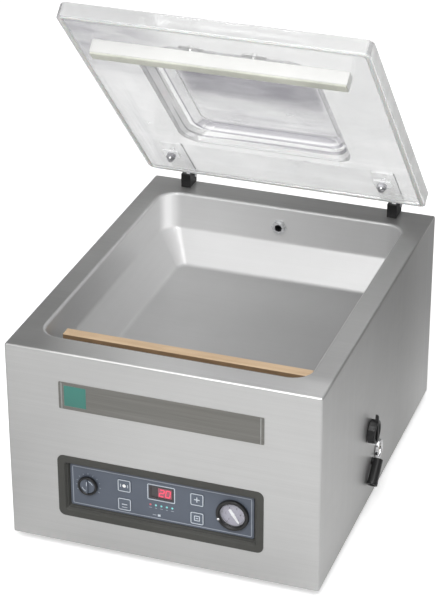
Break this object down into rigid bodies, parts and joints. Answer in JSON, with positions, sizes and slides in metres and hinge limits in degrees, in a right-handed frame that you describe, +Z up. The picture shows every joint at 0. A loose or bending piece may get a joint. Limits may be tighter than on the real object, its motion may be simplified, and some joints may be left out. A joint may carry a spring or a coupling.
{
  "type": "vacuum chamber sealer",
  "caption": "Tabletop vacuum chamber sealer: brushed steel cabinet with a sunken chamber, lifting seal bar, clear domed lid on rear hinges, front control panel and vacuum gauge.",
  "frame": {"origin": "centre of the cabinet's footprint on the bench top, in the plane under the rubber feet", "axes": "+Z up, -Y towards the front with the control panel, +X to the right as seen from the front; the lid is drawn open on its stop"},
  "size_m": [0.4659, 0.5835, 0.7289],
  "materials": {
    "stainless": "fine brushed",
    "chamber_steel": "satin pressed",
    "base_steel": "plain galvanised",
    "foot_rubber": "matt",
    "plate_grey": "brushed dark anodised",
    "accent_green": "printed",
    "bezel_grey": "fine texture",
    "membrane_slate": "satin film",
    "display_red": "tinted window",
    "digit_red": "lit",
    "led_teal": "lit",
    "key_slate": "satin film",
    "black_plastic": "satin",
    "dial_pale": "matt printed",
    "needle_white": "matt",
    "clear_glass": "clear",
    "oil_glass": "oil-tinted",
    "chrome": "polished",
    "zinc": "zinc plated",
    "board_green": "solder mask",
    "acrylic": "clear thick",
    "gasket_silicone": "translucent",
    "white_plastic": "satin",
    "silicone_olive": "matt",
    "bar_aluminium": "extruded",
    "phenolic": "matt",
    "heat_strip": "flat strip",
    "tape_tan": "coated glass cloth",
    "pump_iron": "painted",
    "oil_case": "cast",
    "motor_grey": "painted",
    "hose_rubber": "matt",
    "valve_brass": "machined",
    "core_steel": "laminated"
  },
  "bodies": {
    "cabinet": {"housing_shell": "stainless", "chamber_pan": "chamber_steel", "base_plate": "base_steel", "rear_cover": "stainless", "rear_screws": "zinc", "feet": "foot_rubber", "foot_screws": "zinc", "name_plate": "plate_grey", "name_plate_accent": "accent_green", "control_bezel": "bezel_grey", "membrane_panel": "membrane_slate", "display_window": "display_red", "display_digits": "digit_red", "indicator_lights": "led_teal", "knob_switch": "black_plastic", "gauge_case": "black_plastic", "gauge_dial": "dial_pale", "gauge_glass": "clear_glass", "gauge_stop_pin": "chrome", "control_board": "board_green", "suction_port": "chrome", "vacuum_hose": "hose_rubber", "lift_cylinders": "zinc", "hinge_bases": "black_plastic", "hinge_pins": "chrome", "pump_body": "pump_iron", "pump_oil_case": "oil_case", "pump_mounts": "foot_rubber", "sight_glass_ring": "chrome", "sight_glass": "oil_glass", "drain_elbow": "black_plastic", "pump_motor": "motor_grey", "exhaust_filter": "base_steel", "solenoid_valve": "valve_brass", "transformer": "core_steel", "power_inlet": "black_plastic"},
    "lid": {"lid_shell": "acrylic", "lid_gasket": "gasket_silicone", "counter_bar_holder": "white_plastic", "counter_bar_silicone": "silicone_olive", "counter_bar_screws": "zinc", "hinge_arms": "stainless", "hinge_bolts": "chrome", "hinge_washers": "chrome", "hinge_cap_nuts": "chrome"},
    "seal_bar": {"seal_bar_body": "bar_aluminium", "seal_bar_insulator": "phenolic", "seal_wires": "heat_strip", "seal_tape": "tape_tan", "seal_bar_pistons": "chrome"},
    "program_key": {"key_program": "key_slate"},
    "minus_key": {"key_minus": "key_slate"},
    "plus_key": {"key_plus": "key_slate"},
    "stop_key": {"key_stop": "key_slate"},
    "knob": {"main_knob": "black_plastic"},
    "needle": {"gauge_needle": "needle_white"},
    "rotor": {"motor_rotor": "core_steel", "motor_fan": "black_plastic"},
    "filler_plug": {"oil_filler_plug": "black_plastic"},
    "plunger": {"valve_plunger": "heat_strip"}
  },
  "joints": [
    {"name": "lid_hinge", "type": "hinge", "parent": "cabinet", "child": "lid", "pos_m": [0, 0.28, 0.328], "axis": [1, 0, 0], "range_deg": [0, 47.5]},
    {"name": "seal_bar_lift", "type": "slide", "parent": "cabinet", "child": "seal_bar", "axis": [0, 0, 1], "range_m": [0, 0.0045]},
    {"name": "program_key_press", "type": "slide", "parent": "cabinet", "child": "program_key", "axis": [0, 1, 0], "range_m": [0, 0.0006], "stiffness_N_per_m": 800},
    {"name": "minus_key_press", "type": "slide", "parent": "cabinet", "child": "minus_key", "axis": [0, 1, 0], "range_m": [0, 0.0006], "stiffness_N_per_m": 800},
    {"name": "plus_key_press", "type": "slide", "parent": "cabinet", "child": "plus_key", "axis": [0, 1, 0], "range_m": [0, 0.0006], "stiffness_N_per_m": 800},
    {"name": "stop_key_press", "type": "slide", "parent": "cabinet", "child": "stop_key", "axis": [0, 1, 0], "range_m": [0, 0.0006], "stiffness_N_per_m": 800},
    {"name": "main_knob_turn", "type": "hinge", "parent": "cabinet", "child": "knob", "pos_m": [-0.111, -0.281, 0.10775], "axis": [0, 1, 0], "range_deg": [0, 90]},
    {"name": "gauge_needle_turn", "type": "hinge", "parent": "cabinet", "child": "needle", "pos_m": [0.1, -0.281, 0.10475], "axis": [0, 1, 0], "range_deg": [-260, 0]},
    {"name": "motor_spin", "type": "hinge", "parent": "cabinet", "child": "rotor", "pos_m": [0.092, 0.1, 0.096], "axis": [0, 1, 0], "continuous": true},
    {"name": "oil_filler_turn", "type": "hinge", "parent": "cabinet", "child": "filler_plug", "pos_m": [0.225, -0.05, 0.13], "axis": [1, 0, 0], "range_deg": [0, 90]},
    {"name": "valve_plunger_slide", "type": "slide", "parent": "cabinet", "child": "plunger", "axis": [1, 0, 0], "range_m": [0, 0.003], "stiffness_N_per_m": 300}
  ]
}
